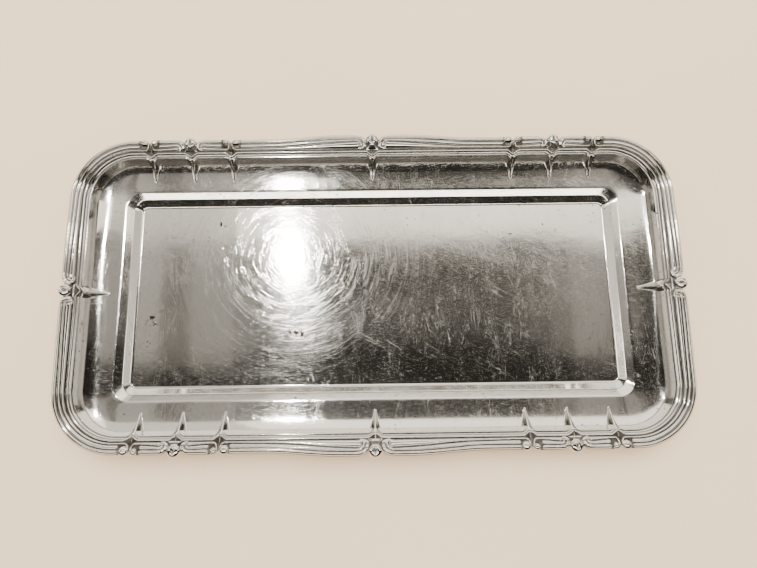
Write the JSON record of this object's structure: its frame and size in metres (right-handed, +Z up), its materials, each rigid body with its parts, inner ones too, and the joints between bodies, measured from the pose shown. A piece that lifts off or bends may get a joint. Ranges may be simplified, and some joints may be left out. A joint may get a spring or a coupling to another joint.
{
  "type": "serving tray",
  "caption": "Shallow rectangular serving tray with rounded corners, a stepped flat well, pinched wall darts and an applied reeded, scrolled border.",
  "frame": {"origin": "on the table, under the middle of the tray", "axes": "+Z up, +X along the tray's length, +Y towards its back long side"},
  "size_m": [0.4036, 0.211, 0.0245],
  "materials": {
    "pan_metal": "polished silver-coloured sheet, finely scratched, grain along the length",
    "border_metal": "bright polished relief, darker in the grooves",
    "leaf_metal": "bright polished casting, darker in the hollows"
  },
  "bodies": {
    "root": {"tray_pan": "pan_metal", "border_corner_back_left": "border_metal", "border_outer_back_left": "border_metal", "border_inner_back_left": "border_metal", "border_long_back_left": "border_metal", "border_corner_back_right": "border_metal", "border_outer_back_right": "border_metal", "border_inner_back_right": "border_metal", "border_long_back_right": "border_metal", "border_corner_front_left": "border_metal", "border_outer_front_left": "border_metal", "border_inner_front_left": "border_metal", "border_long_front_left": "border_metal", "border_corner_front_right": "border_metal", "border_outer_front_right": "border_metal", "border_inner_front_right": "border_metal", "border_long_front_right": "border_metal", "leaf_back_left": "leaf_metal", "leaf_back_middle": "leaf_metal", "leaf_back_right": "leaf_metal", "leaf_front_left": "leaf_metal", "leaf_front_middle": "leaf_metal", "leaf_front_right": "leaf_metal", "leaf_left_end": "leaf_metal", "leaf_right_end": "leaf_metal"}
  },
  "joints": []
}
